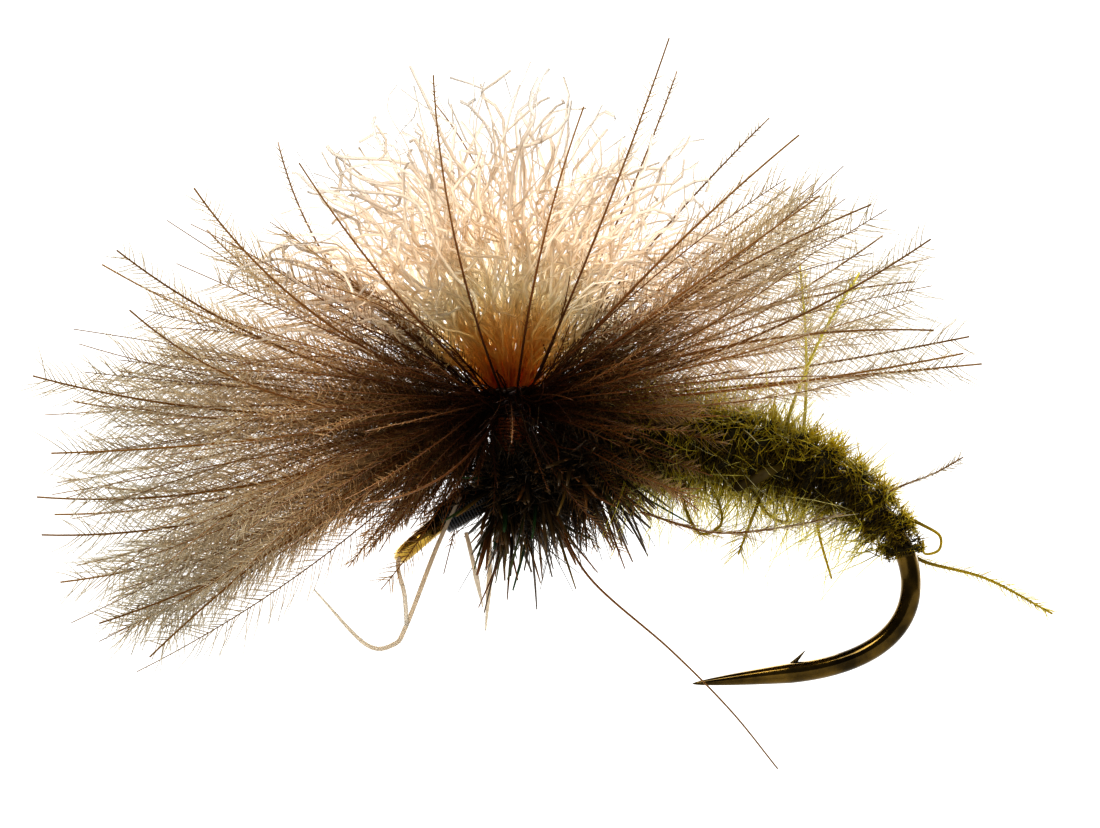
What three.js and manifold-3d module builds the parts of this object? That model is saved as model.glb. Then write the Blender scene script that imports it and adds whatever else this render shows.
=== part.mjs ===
// Parachute dry fly tied on a curved emerger hook.
// Millimetres, +Z up. The origin is the centre of the hook eye. +X runs along the fly, from the
// eye to the bend, and Y runs across it. The fly sits as it floats: wing post up, point below.

import * as THREE from 'three';
import { mergeVertices } from 'three/addons/utils/BufferGeometryUtils.js';
import Module from 'manifold-3d';

const wasm = await Module();
wasm.setup();

// Hook: a round wire with a ring eye, a long curved shank, a round bend and a barbed point.
const WIRE_RADIUS = 0.235;
const SHANK_START = [0.43, 0, 0.4];
const SHANK_PULLS = [[2.1, 0, 1.52], [3.7, 0, 2.28]];
const SHANK_TOP = [5.6, 0, 2.28];
const BACK_PULLS = [[8.5, 0, 2.28], [11.09, 0, 0.8]];
const BEND_BACK = [11.09, 0, -0.95];
const BEND_PULLS = [[11.09, 0, -2.25], [9.8, 0, -2.8]];
const SPEAR_START = [8.5, 0, -2.95];
const POINT_TIP = [6.17, 0, -3.21];
const POINT_TAPER_LENGTH = 2.2;
const POINT_TAPER_POWER = 0.62;
const POINT_TIP_RADIUS = 0.014;
const EYE_TILT = THREE.MathUtils.degToRad(41);
const EYE_OUTER_RADIUS = 0.675;
const EYE_WIRE_RADIUS = 0.19;
const BARB_OUTLINE = [[8.1, -2.84], [8.5, -2.86], [8.69, -2.49]];
const BARB_WIDTH = 0.2;

// Gap kept between pieces that touch on the real fly.
const CLEARANCE = 0.03;

// Stretches of the shank that each dressing covers, as distances along the wire from the eye.
const HEAD_SPAN = [0.12, 1.3];
const UNDERBODY_SPAN = [1.33, 11.2];
const THORAX_SPAN = [1.5, 4.3];
const ABDOMEN_SPAN = [4.45, 11.9];

const HEAD_RADIUS = 0.4;
const UNDERBODY_RADIUS = 0.3;
const THORAX_RADIUS = 0.62;
const SPIKE_COUNT = 28;
const SPIKE_ROOT = 0.45;
const SPIKE_LENGTHS = [1.3, 2.4];
const SPIKE_LEANS = [0.1, 0.6];
const SPIKE_BASE_RADIUS = 0.06;
const SPIKE_TIP_RADIUS = 0.022;
const SPIKE_SWING = THREE.MathUtils.degToRad(115);
const ABDOMEN_TURNS = 11;
const ABDOMEN_RADIUS = 0.84;
const ABDOMEN_END_RADIUS = 0.42;
const ABDOMEN_TAPER_POWER = 2.2;

// Steps that scatter one spike or strand after another evenly over their range.
const SCATTER = 0.618;
const SECOND_SCATTER = 0.382;
const THIRD_SCATTER = 0.27;

// Wing post: a stalk standing on the shank, bound with thread, with the hackle wound round it.
const POST_X = 2.07;
const STALK_RADIUS = 0.33;
const STALK_BOTTOM = 1.86;
const STALK_TOP = 3.5;
const POST_WRAPS_RADIUS = 0.46;
const POST_WRAPS_SPAN = [1.9, 3.38];
const HUB_HEIGHT = 3.06;
const HACKLE_TURNS = 3;
const HACKLE_STRAND_RADIUS = 0.11;
const HACKLE_PITCH = 0.24;

// Wing: crinkled yarn strands that open from the stalk into a ragged fan.
const STRAND_COUNT = 34;
const STRAND_RADIUS = 0.055;
const STRAND_LENGTH = 6.4;
const STRAND_KNOTS = 5;
const STRAND_CRINKLE = 0.16;
const STRAND_ROOT_SPREAD = 0.14;
const STRAND_ROOT_DEPTH = 0.25;
const FAN_HALF_ANGLE = THREE.MathUtils.degToRad(50);
const FAN_HALF_DEPTH = THREE.MathUtils.degToRad(24);

const FIBRE_BASE_RADIUS = 0.036;
const FIBRE_TIP_RADIUS = 0.02;

// Hackle fibres, one row each: direction of the tip from the hub in the side view (degrees
// anticlockwise from +X), reach in that view, depth across the fly, and sideways bow at mid length.
const HACKLE_FIBRES = [
  [5, 10.7, 2.4, 0],
  [6.5, 10.2, -3.6, -0.2],
  [8.5, 10.5, 3, -0.1],
  [10, 9.6, -4.6, 0.5],
  [17, 9.6, 4.8, 0.5],
  [21.5, 10.1, -4, -0.5],
  [24.5, 9.3, 5.4, -0.4],
  [29, 9.2, -5.6, 0.3],
  [32.5, 8.8, 6.2, -0.8],
  [34, 8.3, -6.8, 0],
  [38, 8.1, 7, 0.1],
  [43, 8.8, -5.8, 0.2],
  [48, 8.8, 6, 0.2],
  [63.5, 8.5, 6.4, -0.2],
  [66.5, 8.9, -5.6, -0.1],
  [76, 6.8, -8, 0.2],
  [103, 7.5, -7.4, 0.3],
  [104, 7.1, 8, -0.8],
  [131, 7.1, -7.8, 0.2],
  [131.5, 8, 6.6, 0.9],
  [145.5, 8.5, -6.4, 0.7],
  [150, 8, 7, 0.5],
  [158.5, 9.4, -5.2, 0.6],
  [161, 9.8, 4.4, 0.4],
  [166, 8.7, -6.2, 1],
  [175, 8.9, 6, 0.1],
  [176.5, 10.7, -2.4, 0.5],
  [179.5, 9.9, 4, 0.4],
  [186, 10.3, -3.4, 0.2],
  [191.5, 9.4, 5.2, 0.7],
  [191, 10.8, -2, 0.7],
  [193.5, 10.6, 2.8, 0.6],
  [195.5, 10.9, -1.6, 0.8],
  [201.5, 8.6, 6.4, 1],
  [201.5, 10.9, 1.2, 0.7],
  [208, 10.4, -3, 0.5],
  [215, 9.8, -4.4, -0.3],
  [214, 3.9, -9.6, 0.5],
];

const COLOURS = {
  bronze: 0x7a5a2e,
  blackThread: 0x0c0d14,
  darkDubbing: 0x1a1512,
  oliveHerl: 0x8a7d22,
  oliveBarb: 0x9a8a1e,
  peachYarn: 0xf0c39a,
  paleStrand: 0xc9a27c,
  orangeThread: 0xc4762c,
  brownHackle: 0x5a3a1c,
};

// Fibres that stand out of the dressing, each as the points that it passes through: x, z, y.
const LOOSE_FIBRES = {
  abdomen_fibre_1: {
    colour: COLOURS.oliveBarb,
    radius: 0.045,
    points: [[8.72, 3, 0.35], [8.73, 4.63, 0.6], [8.6, 6.25, 0.9]],
  },
  abdomen_fibre_2: {
    colour: COLOURS.oliveBarb,
    radius: 0.045,
    points: [[8.4, 3, -0.35], [9.11, 4.68, -0.7], [9.92, 6.03, -1]],
  },
  abdomen_fibre_3: {
    colour: COLOURS.oliveHerl,
    radius: 0.05,
    points: [
      [6, 1.3, -0.35],
      [5.94, 0.97, -0.5],
      [6.3, 0.2, -0.62],
      [6.78, 0.33, -0.62],
      [6.8, 0.74, -0.5],
      [6.6, 1.2, -0.3],
    ],
  },
  abdomen_fibre_4: {
    colour: COLOURS.oliveHerl,
    radius: 0.05,
    points: [
      [7.5, 1.15, 0.2],
      [7.85, 0.63, 0.32],
      [8.28, 0.42, 0.36],
      [8.24, 0.79, 0.3],
      [8.05, 1.1, 0.16],
    ],
  },
  abdomen_fibre_5: {
    colour: COLOURS.oliveHerl,
    radius: 0.04,
    points: [[7.75, 1.12, -0.2], [7.45, 0.34, -0.45], [7.2, -0.3, -0.55]],
  },
  abdomen_fibre_6: {
    colour: COLOURS.oliveHerl,
    radius: 0.04,
    points: [[9.02, 0.86, 0.15], [9.02, 0.2, 0.3], [9.31, -0.85, 0.4]],
  },
  herl_tag: {
    colour: COLOURS.oliveBarb,
    radius: 0.05,
    points: [
      [11.36, 0.36, 0.1],
      [11.74, 0.12, 0.16],
      [11.72, -0.2, 0.08],
      [11.4, -0.28, -0.1],
      [11.36, 0, -0.2],
    ],
  },
  tail_fibre: {
    colour: COLOURS.oliveBarb,
    radius: 0.045,
    points: [[11.36, -0.45, 0.3], [12.8, -0.85, 0.5], [14.29, -1.64, 0.7]],
  },
  long_stray_fibre: {
    colour: COLOURS.brownHackle,
    radius: 0.035,
    points: [[3.87, -0.83, -0.9], [5.67, -2.43, -1.3], [7.02, -3.79, -1.5], [8.08, -5.1, -1.6]],
  },
  rear_stray_fibre: {
    colour: COLOURS.brownHackle,
    radius: 0.03,
    points: [[10.9, 1.25, -0.3], [11.6, 1.52, -0.4], [12.26, 1.89, -0.5]],
  },
  under_stray_fibre: {
    colour: COLOURS.brownHackle,
    radius: 0.03,
    points: [[5, 0.66, -0.95], [6.66, 0.2, -1.15], [8.33, 0.34, -1.15], [9.56, 0.61, -1.05]],
  },
  loose_yarn_1: {
    colour: COLOURS.paleStrand,
    radius: 0.06,
    points: [
      [0.43, -0.12, -0.5],
      [-0.25, -1.87, -0.7],
      [-0.55, -2.32, -0.72],
      [-1.19, -2.3, -0.6],
      [-2.34, -1.08, -0.5],
    ],
  },
  loose_yarn_2: {
    colour: COLOURS.paleStrand,
    radius: 0.06,
    points: [[1.08, 0.2, -0.35], [1.19, -0.25, -0.42], [1.46, -1.48, -0.5]],
  },
  loose_yarn_3: {
    colour: COLOURS.paleStrand,
    radius: 0.06,
    points: [[1.62, 0.24, 0.3], [1.6, -0.9, 0.4], [1.52, -2.02, 0.45]],
  },
};

function vector([x, y, z]) {
  return new THREE.Vector3(x, y, z);
}

function positionsOnly(geometry) {
  const bare = geometry.clone();
  bare.deleteAttribute('normal');
  bare.deleteAttribute('uv');
  return mergeVertices(bare);
}

function toSolid(geometry) {
  const bare = positionsOnly(geometry);
  return new wasm.Manifold(new wasm.Mesh({
    numProp: 3,
    vertProperties: new Float32Array(bare.getAttribute('position').array),
    triVerts: new Uint32Array(bare.getIndex().array),
  }));
}

function toGeometry(solid) {
  const mesh = solid.getMesh();
  const geometry = new THREE.BufferGeometry();
  geometry.setAttribute('position', new THREE.BufferAttribute(mesh.vertProperties, 3));
  geometry.setIndex(new THREE.BufferAttribute(mesh.triVerts, 1));
  return geometry;
}

function join(geometries) {
  const solids = geometries.map(toSolid);
  return toGeometry(solids.reduce((whole, solid) => whole.add(solid)));
}

// Bends a straight body, whose axis runs from y = 0 to y = 1, along a curve.
// thickness(t) scales the section at the fraction t of the way along.
function alongCurve(straight, curve, steps, thickness) {
  const centres = curve.getSpacedPoints(steps);
  const frames = curve.computeFrenetFrames(steps, false);
  const bent = straight.clone();
  const corners = bent.getAttribute('position');
  for (let i = 0; i < corners.count; i += 1) {
    const row = Math.round(corners.getY(i) * steps);
    const scale = thickness(row / steps);
    const corner = centres[row].clone()
      .addScaledVector(frames.binormals[row], corners.getX(i) * scale)
      .addScaledVector(frames.normals[row], corners.getZ(i) * scale);
    corners.setXYZ(i, corner.x, corner.y, corner.z);
  }
  return positionsOnly(bent);
}

// A round closed rod along a curve, with its radius at each fraction of the way.
function rod(curve, radiusAt, sides, steps) {
  const straight = new THREE.CylinderGeometry(1, 1, 1, sides, steps).translate(0, 0.5, 0);
  return alongCurve(straight, curve, steps, radiusAt);
}

function taper(start, end, power = 1) {
  return (t) => start + (end - start) * t ** power;
}

// A hollow sleeve along a curve: a closed ring section turned about the axis, then bent.
function sleeve(curve, innerRadius, outerRadiusAt, sides, steps) {
  const profile = [];
  for (let row = 0; row <= steps; row += 1) {
    profile.push(new THREE.Vector2(outerRadiusAt(row / steps), row / steps));
  }
  for (let row = steps; row >= 0; row -= 1) {
    profile.push(new THREE.Vector2(innerRadius, row / steps));
  }
  profile.push(profile[0].clone());
  return alongCurve(new THREE.LatheGeometry(profile, sides), curve, steps, () => 1);
}

function makeHookPath() {
  const start = vector(SHANK_START);
  const top = vector(SHANK_TOP);
  const back = vector(BEND_BACK);
  const spear = vector(SPEAR_START);
  const path = new THREE.CurvePath();
  path.add(new THREE.CubicBezierCurve3(start, ...SHANK_PULLS.map(vector), top));
  path.add(new THREE.CubicBezierCurve3(top, ...BACK_PULLS.map(vector), back));
  path.add(new THREE.CubicBezierCurve3(back, ...BEND_PULLS.map(vector), spear));
  path.add(new THREE.LineCurve3(spear, vector(POINT_TIP)));
  return path;
}

const hookPath = makeHookPath();
const hookLength = hookPath.getLength();

// The stretch of the hook wire between two distances from the eye.
class WireStretch extends THREE.Curve {
  constructor([from, to]) {
    super();
    this.from = from / hookLength;
    this.to = to / hookLength;
  }

  getPoint(t, target = new THREE.Vector3()) {
    return target.copy(hookPath.getPointAt(this.from + (this.to - this.from) * t));
  }
}

// A strand wound round a stretch of the wire, a given distance off its axis.
class WoundStrand extends THREE.Curve {
  constructor(core, turns, offsetAt) {
    super();
    this.core = core;
    this.turns = turns;
    this.offsetAt = offsetAt;
  }

  getPoint(t, target = new THREE.Vector3()) {
    const tangent = this.core.getTangent(t);
    const up = new THREE.Vector3(-tangent.z, 0, tangent.x);
    const angle = 2 * Math.PI * this.turns * t;
    const offset = this.offsetAt(t);
    return target.copy(this.core.getPoint(t))
      .addScaledVector(up, offset * Math.cos(angle))
      .add(new THREE.Vector3(0, offset * Math.sin(angle), 0));
  }
}

// A level coil about the wing post, rising as it turns.
class PostCoil extends THREE.Curve {
  getPoint(t, target = new THREE.Vector3()) {
    const angle = 2 * Math.PI * HACKLE_TURNS * t;
    const radius = POST_WRAPS_RADIUS + CLEARANCE + HACKLE_STRAND_RADIUS;
    const rise = (t - 0.5) * HACKLE_TURNS * HACKLE_PITCH;
    return target.set(POST_X + radius * Math.cos(angle), radius * Math.sin(angle), HUB_HEIGHT + rise);
  }
}

function makeEyeRing() {
  const ringRadius = EYE_OUTER_RADIUS - EYE_WIRE_RADIUS;
  const ring = new THREE.TorusGeometry(ringRadius, EYE_WIRE_RADIUS, 8, 24);
  return ring.rotateY(-EYE_TILT);
}

function makeBarb() {
  const outline = new THREE.Shape(BARB_OUTLINE.map(([x, z]) => new THREE.Vector2(x, z)));
  const wedge = new THREE.ExtrudeGeometry(outline, { depth: BARB_WIDTH, bevelEnabled: false });
  return wedge.rotateX(Math.PI / 2).translate(0, BARB_WIDTH / 2, 0);
}

function wireRadiusAt(t) {
  const toTip = (1 - t) * hookLength;
  const share = Math.min(1, toTip / POINT_TAPER_LENGTH);
  return Math.max(POINT_TIP_RADIUS, WIRE_RADIUS * share ** POINT_TAPER_POWER);
}

function makeHook() {
  const wire = rod(hookPath, wireRadiusAt, 10, 60);
  return join([wire, makeEyeRing(), makeBarb()]);
}

function makeHeadWraps() {
  const swell = (t) => HEAD_RADIUS * (0.84 + 0.16 * Math.sin(Math.PI * t));
  return sleeve(new WireStretch(HEAD_SPAN), WIRE_RADIUS + CLEARANCE, swell, 12, 5);
}

function makeUnderbody() {
  const bore = WIRE_RADIUS + CLEARANCE;
  return sleeve(new WireStretch(UNDERBODY_SPAN), bore, () => UNDERBODY_RADIUS, 10, 20);
}

// The value a share of the way through a range.
function within([low, high], share) {
  return low + (high - low) * share;
}

// A stiff tapered spike that leans back from the shank at an angle round it.
function makeSpike(index) {
  const share = (index + 0.5) / SPIKE_COUNT;
  const wire = new WireStretch(THORAX_SPAN);
  const root = wire.getPoint(within([0.08, 0.92], (index * SCATTER) % 1));
  const swing = within([-SPIKE_SWING, SPIKE_SWING], share);
  const length = within(SPIKE_LENGTHS, (index * SECOND_SCATTER) % 1);
  const lean = within(SPIKE_LEANS, (index * THIRD_SCATTER) % 1);
  const outward = new THREE.Vector3(lean, Math.sin(swing), -Math.cos(swing)).normalize();
  const start = root.clone().addScaledVector(outward, SPIKE_ROOT);
  const end = root.clone().addScaledVector(outward, SPIKE_ROOT + length);
  return rod(new THREE.LineCurve3(start, end), taper(SPIKE_BASE_RADIUS, SPIKE_TIP_RADIUS), 4, 2);
}

function makeThorax() {
  const wire = new WireStretch(THORAX_SPAN);
  const swell = (t) => THORAX_RADIUS * (0.78 + 0.22 * Math.sin(Math.PI * t));
  const tuft = [sleeve(wire, UNDERBODY_RADIUS + CLEARANCE, swell, 12, 6)];
  for (let index = 0; index < SPIKE_COUNT; index += 1) {
    tuft.push(makeSpike(index));
  }
  const boreHeight = 3;
  const boreRadius = POST_WRAPS_RADIUS + CLEARANCE;
  const bore = new THREE.CylinderGeometry(boreRadius, boreRadius, boreHeight, 16)
    .rotateX(Math.PI / 2)
    .translate(POST_X, 0, STALK_BOTTOM - CLEARANCE + boreHeight / 2);
  return toGeometry(toSolid(join(tuft)).subtract(toSolid(bore)));
}

// Dubbed herl wound as a rope: fat in the middle of the body, thin where it ends on the bend.
function makeAbdomen() {
  const inner = UNDERBODY_RADIUS + CLEARANCE;
  const outerAt = taper(ABDOMEN_RADIUS, ABDOMEN_END_RADIUS, ABDOMEN_TAPER_POWER);
  const strandRadiusAt = (t) => (outerAt(t) - inner) / 2;
  const offsetAt = (t) => inner + strandRadiusAt(t);
  const coil = new WoundStrand(new WireStretch(ABDOMEN_SPAN), ABDOMEN_TURNS, offsetAt);
  return rod(coil, strandRadiusAt, 6, ABDOMEN_TURNS * 11);
}

function makePostWraps() {
  const [bottom, top] = POST_WRAPS_SPAN;
  const axis = new THREE.LineCurve3(vector([POST_X, 0, bottom]), vector([POST_X, 0, top]));
  const swell = (t) => POST_WRAPS_RADIUS * (0.94 + 0.06 * Math.sin(Math.PI * t));
  return sleeve(axis, STALK_RADIUS + CLEARANCE, swell, 14, 3);
}

function makeHackleCore() {
  return rod(new PostCoil(), () => HACKLE_STRAND_RADIUS, 6, HACKLE_TURNS * 14);
}

// One crinkled strand of the wing, opening from the stalk at its own angle in the fan.
function makeStrand(index) {
  const across = (2 * (index + 0.5)) / STRAND_COUNT - 1;
  const along = 2 * ((index * SCATTER) % 1) - 1;
  const lean = across * FAN_HALF_ANGLE;
  const tilt = along * FAN_HALF_DEPTH;
  const length = STRAND_LENGTH * within([0.8, 1], (index * SECOND_SCATTER) % 1);
  const root = vector([
    POST_X + STRAND_ROOT_SPREAD * across,
    STRAND_ROOT_SPREAD * along,
    STALK_TOP - STRAND_ROOT_DEPTH,
  ]);
  const points = [root];
  for (let knot = 1; knot <= STRAND_KNOTS; knot += 1) {
    const share = knot / STRAND_KNOTS;
    const opening = share ** 0.6;
    const crinkle = STRAND_CRINKLE * share * Math.sin(2.4 * knot + 1.7 * index);
    points.push(new THREE.Vector3(
      root.x + length * share * Math.sin(lean * opening) + crinkle,
      root.y + length * share * Math.sin(tilt * opening) - crinkle,
      root.z + length * share * Math.cos(lean * opening) * Math.cos(tilt * opening),
    ));
  }
  const thickness = taper(1.1 * STRAND_RADIUS, 0.7 * STRAND_RADIUS);
  return rod(new THREE.CatmullRomCurve3(points), thickness, 4, 7);
}

function makeWingPost() {
  const bottom = vector([POST_X, 0, STALK_BOTTOM]);
  const top = vector([POST_X, 0, STALK_TOP]);
  const axis = new THREE.LineCurve3(bottom, top);
  const bundle = [rod(axis, () => STALK_RADIUS, 14, 2)];
  for (let index = 0; index < STRAND_COUNT; index += 1) {
    bundle.push(makeStrand(index));
  }
  return join(bundle);
}

// A hackle fibre springs from the coil round the post and bows gently out to its tip.
function makeHackleFibre([degrees, reach, depth, bow]) {
  const direction = THREE.MathUtils.degToRad(degrees);
  const hub = vector([POST_X, 0, HUB_HEIGHT]);
  const tip = hub.clone().add(new THREE.Vector3(
    reach * Math.cos(direction),
    depth,
    reach * Math.sin(direction),
  ));
  const outward = new THREE.Vector3(tip.x - hub.x, tip.y, 0).normalize();
  const coilEdge = POST_WRAPS_RADIUS + 2 * HACKLE_STRAND_RADIUS + 2 * CLEARANCE;
  const root = hub.clone()
    .addScaledVector(outward, coilEdge + FIBRE_BASE_RADIUS)
    .add(new THREE.Vector3(0, 0, 0.25 * Math.sin(direction)));
  const left = new THREE.Vector3(-Math.sin(direction), 0, Math.cos(direction));
  const middle = root.clone().lerp(tip, 0.5).addScaledVector(left, 2 * bow);
  const curve = new THREE.QuadraticBezierCurve3(root, middle, tip);
  return rod(curve, taper(FIBRE_BASE_RADIUS, FIBRE_TIP_RADIUS), 4, 8);
}

function makeLooseFibre({ points, radius }) {
  const places = points.map(([x, z, y]) => new THREE.Vector3(x, y, z));
  const curve = new THREE.CatmullRomCurve3(places, false, 'centripetal');
  return rod(curve, taper(radius, 0.6 * radius), 4, 4 * (points.length - 1));
}

function finish(colour, roughness, metalness = 0) {
  return new THREE.MeshStandardMaterial({ color: colour, roughness, metalness });
}

const fly = new THREE.Group();

function addPiece(name, geometry, material) {
  const mesh = new THREE.Mesh(geometry, material);
  mesh.name = name;
  fly.add(mesh);
}

addPiece('hook', makeHook(), finish(COLOURS.bronze, 0.3, 1));
addPiece('head_wraps', makeHeadWraps(), finish(COLOURS.blackThread, 0.15));
addPiece('thread_underbody', makeUnderbody(), finish(COLOURS.blackThread, 0.6));
addPiece('thorax_dubbing', makeThorax(), finish(COLOURS.darkDubbing, 0.8));
addPiece('abdomen_herl', makeAbdomen(), finish(COLOURS.oliveHerl, 0.9));
addPiece('post_wraps', makePostWraps(), finish(COLOURS.orangeThread, 0.6));
addPiece('wing_post', makeWingPost(), finish(COLOURS.peachYarn, 0.7));
addPiece('hackle_core', makeHackleCore(), finish(COLOURS.brownHackle, 0.7));

HACKLE_FIBRES.forEach((row, index) => {
  const name = `hackle_fibre_${String(index + 1).padStart(2, '0')}`;
  addPiece(name, makeHackleFibre(row), finish(COLOURS.brownHackle, 0.6));
});

Object.entries(LOOSE_FIBRES).forEach(([name, fibre]) => {
  addPiece(name, makeLooseFibre(fibre), finish(fibre.colour, 0.6));
});

export default fly;
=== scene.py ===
import math

import bpy
import numpy as np
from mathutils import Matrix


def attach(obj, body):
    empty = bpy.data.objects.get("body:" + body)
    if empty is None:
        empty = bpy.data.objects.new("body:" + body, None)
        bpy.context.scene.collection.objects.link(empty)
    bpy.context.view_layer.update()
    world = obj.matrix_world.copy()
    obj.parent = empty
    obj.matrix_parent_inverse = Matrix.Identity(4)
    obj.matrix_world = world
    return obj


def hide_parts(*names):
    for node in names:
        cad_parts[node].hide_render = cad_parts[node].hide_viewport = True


# A parachute dry fly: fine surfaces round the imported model. Lengths here are in millimetres, in
# the model's own frame, and turn to metres where a mesh is made.
MM = 0.001

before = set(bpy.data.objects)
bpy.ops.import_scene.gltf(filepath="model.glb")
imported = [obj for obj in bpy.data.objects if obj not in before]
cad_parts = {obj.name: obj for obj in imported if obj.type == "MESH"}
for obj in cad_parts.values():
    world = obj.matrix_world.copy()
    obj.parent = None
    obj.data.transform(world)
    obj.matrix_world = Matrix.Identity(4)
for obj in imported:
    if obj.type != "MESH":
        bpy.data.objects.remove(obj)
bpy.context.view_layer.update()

# The hook's wire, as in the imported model.
WIRE_RADIUS = 0.235
EYE_RADIUS = 0.485
EYE_WIRE_RADIUS = 0.19
EYE_TILT = math.radians(41)
SHANK_START = (0.43, 0, 0.4)
SHANK_TOP = (5.6, 0, 2.28)
BEND_BACK = (11.09, 0, -0.95)
SPEAR_START = (8.5, 0, -2.95)
POINT = (6.17, 0, -3.21)
POINT_TAPER = 2.2
FINEST_RADIUS = 0.006

# The stretch of the wire that each dressing covers, as distances from the shank's start.
HEAD_SPAN = (0.12, 1.3)
UNDERBODY_SPAN = (1.33, 11.2)
THORAX_SPAN = (1.5, 4.3)
ABDOMEN_SPAN = (4.45, 11.9)

# The wing post, and the hub on it that the hackle spreads from.
POST_X = 2.07
POST_FOOT = 1.92
POST_WRAP_HEIGHT = 1.42
POST_WRAP_RADIUS = 0.4
STALK_TOP = 3.3
WING_FOOT_DEPTH = 1.2
HUB = np.array([POST_X, 0, 3.06])
HACKLE_TILT = math.radians(13)
HACKLE_LOOP_RADIUS = 0.6
HACKLE_NODES = 38

# Strand values of the hackle: barbules are at most the first, and stems lie between the others.
BARBULE_TONES = 0.62
STEM_TONES = (0.75, 1.0)

# The body's rope: its turns, its inner and outer radius at the front, and how much it thins.
ABDOMEN_TURNS = 11
ROPE_INNER = 0.33
ROPE_OUTER_FRONT = 0.84
ROPE_THINNING = 0.42

# Points that the loose fibres pass through, as x, z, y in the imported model.
LOOSE_FIBRES = {
    "abdomen_fibre_1": [(8.6, 2, 0.2), (8.72, 3, 0.35), (8.73, 4.63, 0.6), (8.6, 6.25, 0.9)],
    "abdomen_fibre_2": [(8.2, 2, -0.2), (8.4, 3, -0.35), (9.11, 4.68, -0.7), (9.92, 6.03, -1)],
    "abdomen_fibre_3": [(6, 1.3, -0.35), (5.94, 0.97, -0.5), (6.3, 0.2, -0.62), (6.78, 0.33, -0.62),
                        (6.8, 0.74, -0.5), (6.6, 1.2, -0.3)],
    "abdomen_fibre_4": [(7.5, 1.15, 0.2), (7.85, 0.63, 0.32), (8.28, 0.42, 0.36), (8.24, 0.79, 0.3),
                        (8.05, 1.1, 0.16)],
    "abdomen_fibre_5": [(7.75, 1.12, -0.2), (7.45, 0.34, -0.45), (7.2, -0.3, -0.55)],
    "abdomen_fibre_6": [(9.02, 0.86, 0.15), (9.02, 0.2, 0.3), (9.31, -0.85, 0.4)],
    "herl_tag": [(11.05, 0.5, 0.1), (11.36, 0.36, 0.1), (11.74, 0.12, 0.16), (11.72, -0.2, 0.08),
                 (11.4, -0.28, -0.1), (11.36, 0, -0.2)],
    "tail_fibre": [(11, -0.05, 0.2), (11.36, -0.45, 0.3), (12.8, -0.85, 0.5), (14.29, -1.64, 0.7)],
    "long_stray_fibre": [(3.1, 0.6, -0.5), (3.87, -0.83, -0.9), (5.67, -2.43, -1.3), (7.02, -3.79, -1.5),
                         (8.08, -5.1, -1.6)],
    "rear_stray_fibre": [(10.2, 0.9, -0.2), (10.9, 1.25, -0.3), (11.6, 1.52, -0.4), (12.26, 1.89, -0.5)],
    "under_stray_fibre": [(5, 0.66, -0.95), (6.66, 0.2, -1.15), (8.33, 0.34, -1.15), (9.56, 0.61, -1.05)],
    "loose_yarn_1": [(1, 1.1, -0.35), (0.43, -0.12, -0.5), (-0.25, -1.87, -0.7), (-0.55, -2.32, -0.72),
                     (-1.19, -2.3, -0.6), (-2.34, -1.08, -0.5)],
    "loose_yarn_2": [(1.08, 0.2, -0.35), (1.19, -0.25, -0.42), (1.46, -1.48, -0.5)],
    "loose_yarn_3": [(1.62, 0.24, 0.3), (1.6, -0.9, 0.4), (1.52, -2.02, 0.45)],
}


# ---- Curves ----

def unit(vectors):
    """The vectors at length 1."""
    length = np.linalg.norm(vectors, axis=-1, keepdims=True)
    return vectors / np.maximum(length, 1e-12)


def bezier(a, b, c, d, count):
    """Points on the cubic curve from a to d with handles b and c."""
    t = np.linspace(0, 1, count)[:, None]
    a, b, c, d = (np.array(p, float) for p in (a, b, c, d))
    return (1 - t) ** 3 * a + 3 * t * (1 - t) ** 2 * b + 3 * t ** 2 * (1 - t) * c + t ** 3 * d


def smooth_path(points, count):
    """A smooth curve through the points, with count points spaced evenly along it."""
    knots = np.array(points, float)
    ends = np.vstack([2 * knots[0] - knots[1], knots, 2 * knots[-1] - knots[-2]])
    stretches = []
    for p0, p1, p2, p3 in zip(ends, ends[1:], ends[2:], ends[3:]):
        stretches.append(bezier(p1, p1 + (p2 - p0) / 6, p2 - (p3 - p1) / 6, p2, 24)[:-1])
    dense = np.vstack([*stretches, knots[-1:]])
    return resample(dense, count)


def length_along(path):
    """The distance from the path's start to each of its points."""
    steps = np.linalg.norm(np.diff(path, axis=0), axis=1)
    return np.concatenate([[0], np.cumsum(steps)])


def points_at(path, along, wanted):
    """Points on the path at the wanted distances. along holds the distances of its own points."""
    return np.stack([np.interp(wanted, along, path[:, axis]) for axis in range(3)], axis=-1)


def resample(path, count):
    """The path again, as count points spaced evenly along it."""
    along = length_along(path)
    return points_at(path, along, np.linspace(0, along[-1], count))


def hook_centreline():
    """The hook's shank, bend and spear as one fine path from the eye to the point."""
    shank = bezier(SHANK_START, (2.1, 0, 1.52), (3.7, 0, 2.28), SHANK_TOP, 80)
    back = bezier(SHANK_TOP, (8.5, 0, 2.28), (11.09, 0, 0.8), BEND_BACK, 80)
    bend = bezier(BEND_BACK, (11.09, 0, -2.25), (9.8, 0, -2.8), SPEAR_START, 60)
    spear = np.linspace(SPEAR_START, POINT, 40)
    return resample(np.vstack([shank, back[1:], bend[1:], spear[1:]]), 400)


HOOK_PATH = hook_centreline()
HOOK_ALONG = length_along(HOOK_PATH)


def on_wire(distance):
    """Points on the centreline at distances from the shank's start, with the wire's direction there."""
    step = 0.02
    point = points_at(HOOK_PATH, HOOK_ALONG, distance)
    beyond = points_at(HOOK_PATH, HOOK_ALONG, np.asarray(distance, float) + step)
    return point, unit(beyond - point)


def within(span, share):
    """Distances along the wire at shares of a span of it."""
    return span[0] + (span[1] - span[0]) * share


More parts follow.
